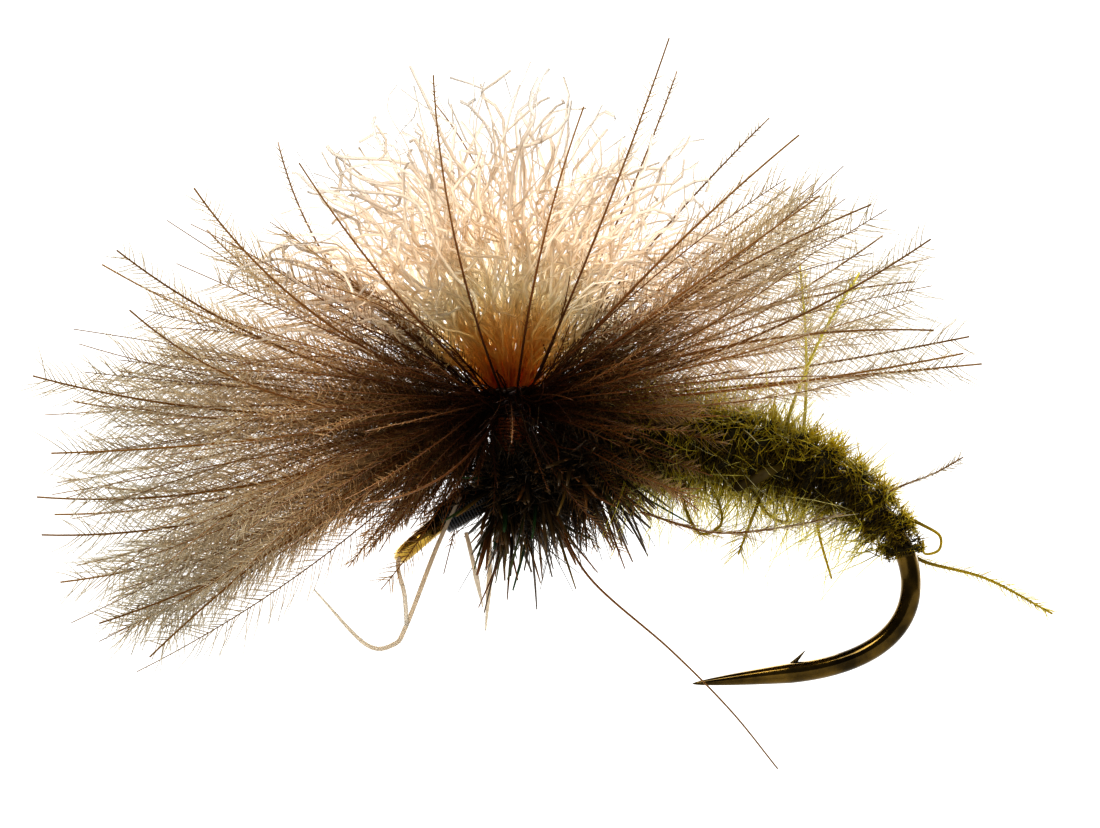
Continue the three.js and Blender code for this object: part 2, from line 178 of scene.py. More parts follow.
def round_wire(distance, angle, offset):
    """Points off the wire's centreline: angle 0 is up, and a quarter turn is the far side."""
    point, tangent = on_wire(distance)
    up = np.stack([-tangent[..., 2], np.zeros_like(tangent[..., 0]), tangent[..., 0]], axis=-1)
    across = np.zeros_like(up)
    across[..., 1] = 1
    outward = up * np.cos(angle)[..., None] + across * np.sin(angle)[..., None]
    return point + outward * np.asarray(offset)[..., None], outward, tangent


# ---- Tubes and meshes ----

def tubes(paths, radii, sides=3, flatten=1.0, twist=None):
    """Closed tubes along paths, an array of (tube, step, xyz).

    radii and twist are one value or a value for each point. twist turns the section, in radians,
    and flatten squashes it.
    """
    paths = np.asarray(paths, float)
    count, steps, _ = paths.shape
    radii = np.broadcast_to(radii, (count, steps))
    tangent = unit(np.gradient(paths, axis=1))
    helper = np.where(np.abs(tangent[:, 0, 2:]) < 0.8, [[0.0, 0.0, 1.0]], [[1.0, 0.0, 0.0]])
    current = unit(np.cross(tangent[:, 0], helper))
    side = np.empty_like(paths)
    for step in range(steps):
        along = tangent[:, step]
        current = unit(current - along * (current * along).sum(-1, keepdims=True))
        side[:, step] = current
    other = np.cross(tangent, side)
    if twist is not None:
        cosine, sine = np.cos(twist)[..., None], np.sin(twist)[..., None]
        side, other = side * cosine + other * sine, other * cosine - side * sine
    angle = 2 * np.pi * np.arange(sides) / sides
    ring = (side[:, :, None] * np.cos(angle)[:, None]
            + other[:, :, None] * (flatten * np.sin(angle))[:, None])
    points = paths[:, :, None] + radii[:, :, None, None] * ring
    return {"points": points, "sides": sides, "steps": steps, "count": count}


def split_faces(tube, first):
    """Vertex numbers of a tube set's walls and ends, counting from first."""
    sides, steps, count = tube["sides"], tube["steps"], tube["count"]
    base = first + (np.arange(count * steps) * sides).reshape(count, steps)
    here = np.arange(sides)
    there = (here + 1) % sides
    low, high = base[:, :-1, None], base[:, 1:, None]
    walls = np.stack([low + here, low + there, high + there, high + here], axis=-1)
    bottoms = base[:, 0, None] + here[::-1]
    tops = base[:, -1, None] + here
    return walls.reshape(-1, 4), bottoms, tops


def cell_uv(tube, first_cell, grid):
    """A UV place for every wall and end corner: each tube has its own cell of a square grid."""
    sides, steps, count = tube["sides"], tube["steps"], tube["count"]
    margin, fill = 0.07, 0.86
    cells = first_cell + np.arange(count)
    corner = np.stack([cells % grid, cells // grid], axis=-1)
    here = np.arange(sides)
    u = np.stack([here, here + 1, here + 1, here], axis=-1) / sides
    v = (np.arange(steps - 1)[:, None] + np.array([0, 0, 1, 1])) / (steps - 1)

    def in_cells(u, v):
        shares = np.stack(np.broadcast_arrays(u, v), axis=-1)
        cell = corner.reshape(count, *[1] * (shares.ndim - 1), 2)
        return (cell + margin + fill * shares).reshape(-1, 2) / grid

    return in_cells(u, v[:, None, :]), in_cells(here[::-1] / sides, 0), in_cells(here / sides, 1)


def make_piece(name, parts, material, seed, stands_for=()):
    """One mesh object from tube sets.

    Attribute along runs 0 to 1 on each tube. Attribute strand is the tube's tone, or random if it has none.
    """
    dice = np.random.default_rng(seed)
    grid = math.ceil(math.sqrt(sum(part["count"] for part in parts)))
    corners, totals, places = [], [], []
    points, strand, along = [], [], []
    first, first_cell = 0, 0
    for part in parts:
        sides, steps, count = part["sides"], part["steps"], part["count"]
        faces = split_faces(part, first)
        for face, uv in zip(faces, cell_uv(part, first_cell, grid)):
            corners.append(face.reshape(-1))
            totals.append(np.full(len(face), face.shape[1]))
            places.append(uv)
        points.append(part["points"].reshape(-1, 3))
        tone = part["tone"] if "tone" in part else dice.random(count)
        strand.append(np.repeat(tone, steps * sides))
        along.append(np.tile(np.repeat(np.linspace(0, 1, steps), sides), count))
        first += count * steps * sides
        first_cell += count
    points, corners = np.concatenate(points), np.concatenate(corners)
    totals, places = np.concatenate(totals), np.concatenate(places)
    mesh = bpy.data.meshes.new(name)
    mesh.vertices.add(len(points))
    mesh.vertices.foreach_set("co", (points * MM).ravel())
    mesh.loops.add(len(corners))
    mesh.loops.foreach_set("vertex_index", corners.astype(np.int32))
    mesh.polygons.add(len(totals))
    starts = np.concatenate([[0], np.cumsum(totals)[:-1]])
    mesh.polygons.foreach_set("loop_start", starts.astype(np.int32))
    mesh.polygons.foreach_set("loop_total", totals.astype(np.int32))
    for label, values in (("strand", strand), ("along", along)):
        layer = mesh.attributes.new(label, "FLOAT", "POINT")
        layer.data.foreach_set("value", np.concatenate(values).astype(np.float32))
    layer = mesh.uv_layers.new(name="OFBake")
    layer.data.foreach_set("uv", places.astype(np.float32).ravel())
    mesh.update(calc_edges=True)
    mesh.polygons.foreach_set("use_smooth", np.ones(len(totals), bool))
    mesh.materials.append(material)
    piece = bpy.data.objects.new(name, mesh)
    bpy.context.scene.collection.objects.link(piece)
    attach(piece, "root")
    if stands_for:
        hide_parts(*stands_for)


# ---- Materials ----

def new_material(name):
    """A node material, with its nodes, links and main shader."""
    material = bpy.data.materials.new(name)
    material.use_nodes = True
    nodes = material.node_tree.nodes
    shader = nodes["Principled BSDF"]
    return material, nodes, material.node_tree.links, shader


def ramp(nodes, links, factor, stops):
    """Turns a value into a colour through stops of (place, colour)."""
    node = nodes.new("ShaderNodeValToRGB")
    elements = node.color_ramp.elements
    while len(elements) < len(stops):
        elements.new(0.5)
    for element, (place, colour) in zip(elements, stops):
        element.position = place
        element.color = (*colour, 1)
    links.new(factor, node.inputs["Fac"])
    return node.outputs["Color"]


def blend_colours(nodes, links, factor, first, second, mode="MIX"):
    """Mixes two colours. The factor is a number or a socket."""
    node = nodes.new("ShaderNodeMix")
    node.data_type = "RGBA"
    node.blend_type = mode
    for socket, value in (("Factor", factor), ("A", first), ("B", second)):
        target = next(s for s in node.inputs if s.name == socket and s.enabled)
        if isinstance(value, float):
            target.default_value = value
        else:
            links.new(value, target)
    return next(s for s in node.outputs if s.enabled)


def attribute(nodes, name):
    """The piece's own value of that name."""
    node = nodes.new("ShaderNodeAttribute")
    node.attribute_name = name
    return node.outputs["Fac"]


def noise(nodes, links, scale, detail=3, stretch=(1, 1, 1)):
    """Fine mottling fixed to the piece. scale is in patches per metre."""
    place = nodes.new("ShaderNodeTexCoord")
    mapping = nodes.new("ShaderNodeMapping")
    mapping.inputs["Scale"].default_value = stretch
    texture = nodes.new("ShaderNodeTexNoise")
    texture.inputs["Scale"].default_value = scale
    texture.inputs["Detail"].default_value = detail
    links.new(place.outputs["Object"], mapping.inputs["Vector"])
    links.new(mapping.outputs["Vector"], texture.inputs["Vector"])
    return texture.outputs["Fac"]


def let_light_through(nodes, links, shader, colour, share):
    """Adds a translucent share, for fibres that glow with the light behind them."""
    through = nodes.new("ShaderNodeBsdfTranslucent")
    links.new(colour, through.inputs["Color"])
    mix = nodes.new("ShaderNodeMixShader")
    if isinstance(share, float):
        mix.inputs["Fac"].default_value = share
    else:
        links.new(share, mix.inputs["Fac"])
    links.new(shader.outputs["BSDF"], mix.inputs[1])
    links.new(through.outputs["BSDF"], mix.inputs[2])
    links.new(mix.outputs["Shader"], nodes["Material Output"].inputs["Surface"])


def hub_distance(nodes, links, reach):
    """0 at the hub of the hackle and 1 at the reach from it. Distance across the fly counts less."""
    place = nodes.new("ShaderNodeTexCoord")
    squeeze = nodes.new("ShaderNodeVectorMath")
    squeeze.operation = "MULTIPLY"
    squeeze.inputs[1].default_value = (1, 0.38, 1)
    apart = nodes.new("ShaderNodeVectorMath")
    apart.operation = "DISTANCE"
    apart.inputs[1].default_value = HUB * MM
    links.new(place.outputs["Object"], squeeze.inputs[0])
    links.new(squeeze.outputs["Vector"], apart.inputs[0])
    scale = nodes.new("ShaderNodeMapRange")
    scale.inputs["From Max"].default_value = reach * MM
    links.new(apart.outputs["Value"], scale.inputs["Value"])
    return scale.outputs["Result"]


def fibre_material(name, along_stops, strand_stops, roughness, glow=0.0, painted_hub_shade=None):
    """Fibre whose colour runs from root to tip, differs between strands and is finely mottled."""
    material, nodes, links, shader = new_material(name)
    run = ramp(nodes, links, attribute(nodes, "along"), along_stops)
    tint = ramp(nodes, links, attribute(nodes, "strand"), strand_stops)
    colour = blend_colours(nodes, links, 1.0, run, tint, "MULTIPLY")
    # Painted shade: colour darkened towards the hackle's hub, where the fibres crowd; it also stands for the
    # feathers' darker roots.
    if painted_hub_shade:
        shade = ramp(nodes, links, hub_distance(nodes, links, 10), painted_hub_shade)
        colour = blend_colours(nodes, links, 1.0, colour, shade, "MULTIPLY")
    mottle = ramp(nodes, links, noise(nodes, links, 9000), [(0.3, (0.78, 0.76, 0.72)), (0.7, (1, 1, 1))])
    colour = blend_colours(nodes, links, 0.7, colour, mottle, "MULTIPLY")
    links.new(colour, shader.inputs["Base Color"])
    shader.inputs["Roughness"].default_value = roughness
    if isinstance(glow, list):
        glow = ramp(nodes, links, attribute(nodes, "strand"), glow)
    if glow:
        let_light_through(nodes, links, shader, colour, glow)
    return material


def add_relief(nodes, links, shader, height, strength, depth):
    """Fine relief on the surface, at most that deep."""
    bump = nodes.new("ShaderNodeBump")
    bump.inputs["Strength"].default_value = strength
    bump.inputs["Distance"].default_value = depth * MM
    links.new(height, bump.inputs["Height"])
    links.new(bump.outputs["Normal"], shader.inputs["Normal"])


def bronze_material():
    """Dark bronzed wire, patchy and polished, with a painted gold highlight at the eye."""
    material, nodes, links, shader = new_material("bronzed_wire")
    patches = noise(nodes, links, 1500, detail=5)
    dark = ramp(nodes, links, patches, [(0.35, (0.03, 0.019, 0.003)), (0.65, (0.14, 0.088, 0.017))])
    gold = ramp(nodes, links, patches, [(0.3, (0.4, 0.25, 0.045)), (0.7, (0.6, 0.42, 0.1))])
    # Painted highlight: the bronze is coloured bright gold at the eye, where the wire starts.
    eye_highlight_mask = ramp(nodes, links, attribute(nodes, "along"), [(0.1, (1, 1, 1)), (0.14, (0, 0, 0))])
    colour = blend_colours(nodes, links, eye_highlight_mask, dark, gold)
    links.new(colour, shader.inputs["Base Color"])
    shader.inputs["Metallic"].default_value = 1.0
    rough = nodes.new("ShaderNodeMapRange")
    rough.inputs["To Min"].default_value = 0.1
    rough.inputs["To Max"].default_value = 0.18
    links.new(patches, rough.inputs["Value"])
    links.new(rough.outputs["Result"], shader.inputs["Roughness"])
    shader.inputs["Coat Weight"].default_value = 0.2
    shader.inputs["Coat Roughness"].default_value = 0.04
    add_relief(nodes, links, shader, noise(nodes, links, 6000, detail=4), strength=0.1, depth=0.01)
    return material


def thread_material(name, dark, light, roughness, coat=0.0):
    """Waxed or varnished thread, streaked by the twist of its filaments."""
    material, nodes, links, shader = new_material(name)
    streaks = noise(nodes, links, 16000, detail=4, stretch=(1, 1, 0.35))
    links.new(ramp(nodes, links, streaks, [(0.3, dark), (0.7, light)]), shader.inputs["Base Color"])
    shader.inputs["Roughness"].default_value = roughness
    shader.inputs["Coat Weight"].default_value = coat
    shader.inputs["Coat Roughness"].default_value = 0.05
    add_relief(nodes, links, shader, streaks, strength=0.3, depth=0.008)
    return material


def wing_material():
    """Yarn that runs from orange at the post through peach to cream at the tips."""
    material, nodes, links, shader = new_material("wing_yarn")
    run = ramp(nodes, links, hub_distance(nodes, links, 7.2),
               [(0.0, (1.0, 0.5, 0.055)), (0.15, (1.0, 0.8, 0.39)), (0.36, (1.0, 0.97, 0.87)),
                (0.55, (0.98, 0.91, 0.82)), (0.75, (0.83, 0.765, 0.69)), (0.95, (0.71, 0.68, 0.64))])
    tint = ramp(nodes, links, attribute(nodes, "strand"),
                [(0.0, (0.97, 0.94, 0.9)), (0.4, (1, 0.985, 0.97)), (1.0, (1, 1, 1))])
    colour = blend_colours(nodes, links, 1.0, run, tint, "MULTIPLY")
    mottle = ramp(nodes, links, noise(nodes, links, 5000), [(0.35, (0.97, 0.96, 0.94)), (0.65, (1, 1, 1))])
    colour = blend_colours(nodes, links, 0.7, colour, mottle, "MULTIPLY")
    links.new(colour, shader.inputs["Base Color"])
    shader.inputs["Roughness"].default_value = 0.35
    let_light_through(nodes, links, shader, colour, 0.95)
    return material


# ---- Stage ----

def make_camera():
    """Square on to the fly's side, from far off."""
    distance = 500
    view_width, centre_x, centre_z = 24.75, 2.97, 2.86
    data = bpy.data.cameras.new("camera")
    data.sensor_width = 36
    data.lens = data.sensor_width * distance / view_width
    data.clip_start = 0.05
    data.clip_end = 5
    camera = bpy.data.objects.new("camera", data)
    camera.location = (centre_x * MM, -distance * MM, centre_z * MM)
    camera.rotation_euler = (math.pi / 2, 0, 0)
    bpy.context.scene.collection.objects.link(camera)
    bpy.context.scene.camera = camera


def make_world():
    """A white studio, bright behind the fly and dim in front of it. The camera sees plain white."""
    dim, bright = 0.18, 2.4
    world = bpy.data.worlds.new("studio")
    world.use_nodes = True
    bpy.context.scene.world = world
    nodes, links = world.node_tree.nodes, world.node_tree.links
    place = nodes.new("ShaderNodeTexCoord")
    split = nodes.new("ShaderNodeSeparateXYZ")
    links.new(place.outputs["Generated"], split.inputs["Vector"])
    depth = nodes.new("ShaderNodeMapRange")
    depth.interpolation_type = "SMOOTHSTEP"
    depth.inputs["From Min"].default_value = -0.35
    depth.inputs["From Max"].default_value = 0.75
    depth.inputs["To Min"].default_value = dim
    depth.inputs["To Max"].default_value = bright
    links.new(split.outputs["Y"], depth.inputs["Value"])
    lighting = nodes["Background"]
    links.new(depth.outputs["Result"], lighting.inputs["Strength"])
    backdrop = nodes.new("ShaderNodeBackground")
    backdrop.inputs["Strength"].default_value = 1.0
    for background in (lighting, backdrop):
        background.inputs["Color"].default_value = (1, 1, 1, 1)
    rays = nodes.new("ShaderNodeLightPath")
    mix = nodes.new("ShaderNodeMixShader")
    links.new(rays.outputs["Is Camera Ray"], mix.inputs["Fac"])
    links.new(lighting.outputs["Background"], mix.inputs[1])
    links.new(backdrop.outputs["Background"], mix.inputs[2])
    links.new(mix.outputs["Shader"], nodes["World Output"].inputs["Surface"])


def make_softbox(name, place, size, radiance):
    """A square light of that radiance, aimed at the hub."""
    data = bpy.data.lights.new(name, "AREA")
    data.size = size * MM
    data.energy = math.pi * data.size ** 2 * radiance
    light = bpy.data.objects.new(name, data)
    light.location = [axis * MM for axis in place]
    aim = HUB * MM - np.array(light.location)
    light.rotation_euler = (math.atan2(math.hypot(aim[0], aim[1]), -aim[2]), 0,
                            math.atan2(aim[1], aim[0]) - math.pi / 2)
    bpy.context.scene.collection.objects.link(light)


def make_floor():
    """A plain pale disc under the fly."""
    radius, height = 120, -9
    mesh = bpy.data.meshes.new("floor")
    angle = np.linspace(0, 2 * np.pi, 97)[:-1]
    rim = np.stack([radius * np.cos(angle), radius * np.sin(angle), np.full_like(angle, height)], axis=1)
    mesh.from_pydata([tuple(p) for p in rim * MM], [], [tuple(range(len(rim)))])
    material, nodes, links, shader = new_material("pale_floor")
    grain = noise(nodes, links, 300)
    links.new(ramp(nodes, links, grain, [(0.3, (0.56, 0.56, 0.56)), (0.7, (0.6, 0.6, 0.6))]),
              shader.inputs["Base Color"])
    shader.inputs["Roughness"].default_value = 0.9
    mesh.materials.append(material)
    floor = bpy.data.objects.new("floor", mesh)
    bpy.context.scene.collection.objects.link(floor)


# ---- Hook and thread ----

def make_hook():
    """The wire: its cut end, the loop of the eye, the shank, the bend and the ground point."""
    neck_end = 0.75
    eye_wire_length, thickening = 2.2, 1.4
    along_eye = np.array([math.cos(EYE_TILT), 0, math.sin(EYE_TILT)])
    across = np.array([0, 1.0, 0])
    angle = np.radians(np.linspace(28, 318, 60))[:, None]
    ring = EYE_RADIUS * (along_eye * np.cos(angle) + across * np.sin(angle))
    leaving = unit(-np.sin(angle[-1]) * along_eye + np.cos(angle[-1]) * across)
    joined, direction = on_wire(neck_end)
    neck = bezier(ring[-1], ring[-1] + 0.25 * leaving, joined - 0.4 * direction, joined, 16)
    path = np.vstack([ring, neck[1:], HOOK_PATH[HOOK_ALONG > neck_end + 0.01]])
    path = resample(path, 420)
    along = length_along(path)
    to_point = along[-1] - along
    grown = np.clip((along - eye_wire_length) / thickening, 0, 1)
    radius = EYE_WIRE_RADIUS + (WIRE_RADIUS - EYE_WIRE_RADIUS) * grown
    radius = radius * np.clip(to_point / POINT_TAPER, 0, 1) ** 0.62
    radius = np.maximum(radius, FINEST_RADIUS)
    # The cut end of the wire is rounded.
    radius[:4] *= np.array([0.35, 0.75, 0.92, 0.98])
    wire = tubes(path[None], radius, sides=24)
    make_piece("hook_wire", [wire, hook_barb()], bronze_material(), 1, ["hook"])


def hook_barb():
    """The barb, raised from the spear towards the bend."""
    steps = 14
    path = smooth_path([(8.14, 0, -3.0), (8.34, 0, -2.84), (8.53, 0, -2.66), (8.73, 0, -2.44)], steps)
    radius = 0.19 * (1 - np.linspace(0, 1, steps)) + 0.005
    return tubes(path[None], radius, sides=10, flatten=0.62)


def wound_thread(span, turns, offset, thickness, swell=0.0, phase=0.0, sides=6):
    """Thread wound in close turns round a span of the wire. swell is how much its middle stands out."""
    steps_per_turn = 20
    count = turns * steps_per_turn
    share = np.linspace(0, 1, count)
    angle = phase + 2 * np.pi * turns * share
    path, _, _ = round_wire(within(span, share), angle, offset + swell * np.sin(np.pi * share) ** 0.6)
    return tubes(path[None], thickness, sides=sides)


def make_head_thread():
    """Two layers of varnished black thread behind the eye."""
    black = thread_material("varnished_black_thread", (0.001, 0.001, 0.001), (0.004, 0.004, 0.005),
                            roughness=0.3, coat=0.3)
    inner = wound_thread(HEAD_SPAN, 15, offset=0.285, thickness=0.05)
    outer = wound_thread(HEAD_SPAN, 17, offset=0.285, thickness=0.045, swell=0.06, phase=1)
    make_piece("head_thread", [inner, outer], black, 2, ["head_wraps"])


def make_underbody_thread():
    """The thread along the shank that every dressing is tied down on."""
    brown = thread_material("waxed_brown_thread", (0.02, 0.012, 0.006), (0.12, 0.07, 0.03), roughness=0.5)
    wraps = wound_thread(UNDERBODY_SPAN, 150, offset=0.272, thickness=0.03, sides=4)
    make_piece("underbody_thread", [wraps], brown, 3, ["thread_underbody"])


def make_post_thread():
    """Orange thread bound round the foot of the wing post."""
    orange = thread_material("orange_thread", (0.1, 0.02, 0.003), (0.4, 0.11, 0.015), roughness=0.4)
    turns, steps_per_turn, thickness = 18, 24, 0.04
    count = turns * steps_per_turn
    share = np.linspace(0, 1, count)
    angle = 2 * np.pi * turns * share
    radius = POST_WRAP_RADIUS + 0.02 * np.sin(np.pi * share)
    height = POST_FOOT + POST_WRAP_HEIGHT * share
    path = np.stack([POST_X + radius * np.cos(angle), radius * np.sin(angle), height], axis=1)
    wraps = tubes(path[None], thickness, sides=6)
    make_piece("post_thread", [wraps], orange, 4, ["post_wraps"])


# ---- Wing ----

def make_wing():
    """Several hundred crinkled flat strands that open from the post into a ragged, woolly fan."""
    dice = np.random.default_rng(21)
    count, steps = 450, 28
    share = np.linspace(0, 1, steps)[None, :]
    # A strand leans along the fly and tilts across it. The fan is highest at its middle.
    lean = np.radians(dice.uniform(-66, 62, count))[:, None]
    tilt = np.radians(dice.normal(0, 15, count).clip(-32, 32))[:, None]
    reach = 6.9 - 0.55 * lean ** 2 - 0.15 * np.sin(lean)
    length = reach * dice.uniform(0.66, 1.07, count)[:, None]
    bend = share ** 0.6
    foot = np.stack([dice.normal(0, 0.13, count), dice.normal(0, 0.13, count)], axis=1).clip(-0.28, 0.28)
    rise = (length + WING_FOOT_DEPTH) * share * np.cos(lean * bend) * np.cos(tilt * bend)
    x = POST_X + foot[:, :1] + length * share * np.sin(lean * bend)
    y = foot[:, 1:] + length * share * np.sin(tilt * bend)
    z = STALK_TOP - WING_FOOT_DEPTH + rise
    paths = np.stack([x, y, z], axis=-1)
    # The crinkle grows from the post outwards, in waves of three lengths.
    loosen = np.clip((share - 0.12) / 0.5, 0, 1)[..., None] ** 1.2
    for waves, size in ((1.3, 0.42), (3.1, 0.22), (5.2, 0.08)):
        phase = dice.uniform(0, 2 * np.pi, (count, 1, 3))
        rate = waves * dice.uniform(0.7, 1.3, (count, 1, 3))
        paths += loosen * size * np.sin(2 * np.pi * rate * share[..., None] + phase)
    width = dice.uniform(0.016, 0.05, count)[:, None]
    width = width * np.interp(share, [0, 0.25, 0.55, 1], [0.46, 0.54, 0.95, 0.9])
    twist = dice.uniform(0, np.pi, count)[:, None] + dice.uniform(-5, 5, count)[:, None] * share
    strands = tubes(paths, width, sides=4, flatten=0.22, twist=twist)
    make_piece("wing_strands", [strands], wing_material(), 5, ["wing_post"])


# ---- Feather fibres ----

def node_centreline(node, count):
    """The middle line of a packed fibre, from its end nearest the hub to its tip."""
    ring_gap = 0.25
    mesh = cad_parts[node].data
    points = np.empty(len(mesh.vertices) * 3)
    mesh.vertices.foreach_get("co", points)
    points = points.reshape(-1, 3) / MM
    from_hub = np.linalg.norm(points - HUB, axis=1)
    order = np.argsort(from_hub)
    points, from_hub = points[order], from_hub[order]
    rings = np.split(points, np.flatnonzero(np.diff(from_hub) > ring_gap) + 1)
    middles = np.array([ring.mean(axis=0) for ring in rings])
    along = length_along(middles)
    along /= along[-1]
    wanted = np.linspace(0, 1, count)
    return np.stack([np.polyval(np.polyfit(along, middles[:, k], 3), wanted) for k in range(3)], axis=1)


def barbules(path, dice, length, spacing, first, last, radius, shape=None, plane=None):
    """Fine side branches in two rows along a fibre, leaning to its tip.

    shape gives their length along the fibre, and plane turns the two rows round it.
    """
    lean, lean_spread, row_spread = 50, 6, 18
    step = 0.05
    along = length_along(path)
    spots = np.arange(first, last, spacing)
    spots = np.repeat(spots, 2) + dice.normal(0, 0.25 * spacing, 2 * len(spots))
    spots = spots.clip(first, last)
    count = len(spots)
    root = points_at(path, along, spots)
    tangent = unit(points_at(path, along, spots + step) - points_at(path, along, spots - step))
    side = unit(np.cross(tangent, np.array([0.15, -1, 0.2])))
    other = np.cross(tangent, side)
    share = (spots - first) / max(last - first, 1e-6)
    plane = dice.uniform(0, np.pi) if plane is None else plane
    around = plane + dice.normal(0, 0.5) * share
    around = around + np.pi * (np.arange(count) % 2) + np.radians(dice.normal(0, row_spread, count))
    outward = side * np.cos(around)[:, None] + other * np.sin(around)[:, None]
    angle = np.radians(dice.normal(lean, lean_spread, count).clip(20, 85))
    profile = 1.0 if shape is None else shape(share)
    size = (length * profile * dice.uniform(0.78, 1.1, count))[:, None, None]
    t = np.linspace(0, 1, 3)[None, :, None]
    forward = tangent[:, None] * np.cos(angle)[:, None, None]
    away = outward[:, None] * np.sin(angle)[:, None, None]
    sway = unit(dice.normal(0, 1, (count, 3)))[:, None] * 0.08
    paths = root[:, None] + size * (away * (t - 0.1 * t ** 2) + forward * (t + 0.2 * t ** 2) + sway * t ** 2)
    radii = (radius * (0.8 + 0.7 * share ** 2))[:, None] * np.array([1.0, 0.85, 0.4])
    part = tubes(paths, radii, sides=3)
    part["tone"] = dice.uniform(0, BARBULE_TONES, count)
    return part


def feather_fibre(path, dice, thickness=1.0, length=1.05, spacing=0.12, first=0.9, plane=None):
    """A hackle fibre: a tapered stem with barbules that end short of its bare tip.

    A fibre that points across the fly has shorter barbules, wider apart.
    """
    full = length_along(path)[-1]
    across = abs(path[-1, 1] - path[0, 1]) / full
    length *= max(1 - across ** 2, 0.1)
    spacing *= 1 + 2 * across ** 4
    bare = 0.02 + 0.24 * dice.random() ** 2
    radius = thickness * (0.034 - 0.013 * np.linspace(0, 1, len(path)) ** 1.5)
    stem = tubes(path[None], radius, sides=5)
    stem["tone"] = np.array([dice.uniform(*STEM_TONES)])
    side = barbules(path, dice, length * dice.uniform(0.75, 1.1), spacing, first, full * (1 - bare),
                    radius=0.0085, shape=lambda share: 0.75 + 0.5 * share - 0.45 * share ** 3, plane=plane)
    return [stem, side]


def hackle_material():
    """Grey-brown barbules (low strand values) and brown stems (high ones), darkest at the hub from painted
    shade over their darker roots.
    """
    barbule_glow, stem_glow = (0.68, 0.68, 0.68), (0.2, 0.2, 0.2)
    return fibre_material(
        "brown_hackle",
        [(0.0, (0.94, 0.9, 0.85)), (1.0, (1, 1, 1))],
        [(0.0, (0.76, 0.68, 0.55)), (0.35, (0.84, 0.78, 0.67)), (BARBULE_TONES, (0.9, 0.86, 0.79)),
         (0.72, (0.24, 0.115, 0.02)), (1.0, (0.42, 0.22, 0.05))],
        roughness=0.34,
        glow=[(0.0, barbule_glow), (BARBULE_TONES, barbule_glow), (0.72, stem_glow)],
        # Painted shade at the hub, over the feathers' darker roots.
        painted_hub_shade=[(0.0, (0.08, 0.04, 0.011)), (0.13, (0.2, 0.105, 0.03)), (0.28, (0.56, 0.38, 0.18)),
                   (0.46, (0.94, 0.79, 0.58)), (0.66, (0.97, 0.92, 0.82)), (0.9, (0.9, 0.91, 0.89))],
    )


def make_hackle(material):
    """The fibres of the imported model. Those that stand in front of the wing have short barbules."""
    for number in range(1, HACKLE_NODES + 1):
        dice = np.random.default_rng(100 + number)
        node = f"hackle_fibre_{number:02d}"
        path = node_centreline(node, 30)
        reach = path[-1] - path[0]
        steep = abs(reach[2]) > 1.1 * abs(reach[0]) and reach[2] > 0
        plane = dice.normal(0, 0.4)
        if steep:
            parts = feather_fibre(path, dice, thickness=0.85, length=0.45, first=2.2, plane=plane)
        else:
            parts = feather_fibre(path, dice, plane=plane)
        make_piece(f"hackle_{number:02d}", parts, material, 200 + number, [node])


def spray_path(turn, slope, length, bow, dice, count=22):
    """A fibre from the hub: turn is its way round the post, slope its angle in the side view."""
    start_radius = 0.66
    flat = np.array([math.cos(turn), math.sin(turn), 0])
    start = HUB + start_radius * flat + np.array([0, 0, dice.uniform(-0.3, 0.3)])
    rise = math.atan(math.tan(slope) * max(abs(math.cos(turn)), 0.3))
    way = flat * math.cos(rise) + np.array([0, 0, math.sin(rise)])
    cosine, sine = math.cos(HACKLE_TILT), math.sin(HACKLE_TILT)
    way = np.array([way[0] * cosine - way[2] * sine, way[1], way[0] * sine + way[2] * cosine])
    side = unit(np.cross(way, dice.normal(0, 1, 3)))
    middle = start + way * length * 0.5 + side * 2 * bow
    end = start + way * length
    t = np.linspace(0, 1, count)[:, None]
    return (1 - t) ** 2 * start + 2 * t * (1 - t) * middle + t ** 2 * end


def make_sprays(material):
    """The rest of the hackle, which fills the burst in all directions, in eight sectors."""
    dice = np.random.default_rng(31)
    rearward_sectors = (0, 1, 6, 7)
    for sector in range(8):
        rearward = sector in rearward_sectors
        count = 8 if rearward else 28
        low, high = (-9, 42) if rearward else (-24, 54)
        parts = []
        for _ in range(count):
            # More fibres lie along the fly than across it.
            from_side = math.pi / 2 * ((sector % 2 + dice.random()) / 2) ** 2
            turn = from_side if rearward else math.pi - from_side
            if sector > 3:
                turn = -turn
            slope = math.radians(low + (high - low) * dice.beta(1.0, 1.5))
            # Fibres that stand up are shorter.
            length = dice.uniform(8.0, 10.4) - 2.0 * max(0, math.degrees(slope)) / 50
            path = spray_path(turn, slope, length, dice.normal(0, 0.35), dice)
            parts += feather_fibre(path, dice, thickness=0.5, length=1.35)
        make_piece(f"hackle_spray_{sector + 1}", parts, material, 300 + sector)


def make_short_hackle(material):
    """Short fibres that droop over the thorax, crowd the hub and stand up round the wing's foot."""
    dice = np.random.default_rng(37)
    parts = []
    groups = (
        # count, turns in degrees, slopes in degrees, lengths, barbule length
        (90, (0, 360), (-85, 8), (1.8, 4.0), 0.4),
        (60, (110, 250), (-78, -34), (1.8, 2.6), 0.3),
        (46, (120, 240), (-50, 30), (3.0, 5.0), 0.5),
        (34, (-60, 60), (-28, 30), (2.6, 4.8), 0.45),
        (36, (-55, -5), (-45, 12), (2.6, 5.2), 0.55),
        (30, (195, 345), (-60, 70), (1.2, 2.8), 0.2),
        (30, (170, 250), (22, 58), (2.4, 5.0), 0.45),
        (16, (-60, 10), (22, 58), (2.0, 3.8), 0.4),
        (34, (150, 225), (-46, -20), (2.4, 4.2), 0.4),
    )
    for count, turns, slopes, lengths, plume in groups:
        for _ in range(count):
            turn = math.radians(dice.uniform(*turns))
            slope = math.radians(dice.uniform(*slopes))
            path = spray_path(turn, slope, dice.uniform(*lengths), dice.normal(0, 0.2), dice, count=14)
            parts += feather_fibre(path, dice, thickness=0.55, length=plume, spacing=0.1, first=0.3)
    make_piece("short_hackle", parts, material, 310)


